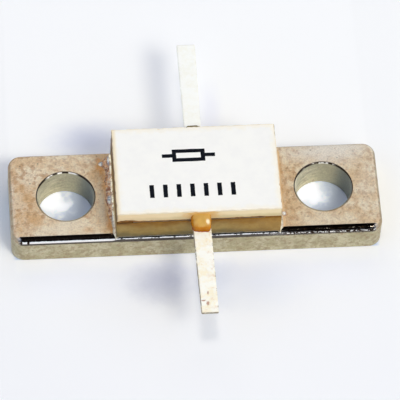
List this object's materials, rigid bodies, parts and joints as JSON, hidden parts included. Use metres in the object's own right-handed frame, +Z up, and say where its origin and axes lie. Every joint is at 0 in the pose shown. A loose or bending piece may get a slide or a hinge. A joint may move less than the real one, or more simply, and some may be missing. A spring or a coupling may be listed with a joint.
{
  "type": "flanged rf resistor",
  "caption": "Radio-frequency film resistor: a covered ceramic block soldered to a metal flange with a fixing hole at each end, and a flat lead out of its front and its back.",
  "frame": {"origin": "middle of the flange's underside, which lies on z = 0", "axes": "+X along the flange's length, +Y towards the back lead, +Z up from the mounting face"},
  "size_m": [0.0216, 0.0184, 0.0044],
  "materials": {
    "nickel_plate": "matt champagne nickel plate, bright on the rolled edges",
    "solder": "bright",
    "silver_film": "matt",
    "block_ceramic": "matt, stained brown by flux",
    "resistor_film": "matt",
    "glaze": "gloss",
    "silver_plate": "satin",
    "adhesive": "satin",
    "cover_ceramic": "matt",
    "amber_epoxy": "gloss"
  },
  "bodies": {
    "root": {"flange": "nickel_plate", "solder_joint": "solder", "underside_film": "silver_film", "ceramic_block": "block_ceramic", "terminal_pad_front": "silver_film", "terminal_pad_back": "silver_film", "resistor_film": "resistor_film", "film_glaze": "glaze", "lead_solder_front": "solder", "lead_solder_back": "solder", "lead_front": "silver_plate", "lead_back": "silver_plate", "cover_adhesive": "adhesive", "ceramic_cover": "cover_ceramic", "epoxy_bead_front": "amber_epoxy", "epoxy_bead_back": "amber_epoxy"}
  },
  "joints": []
}
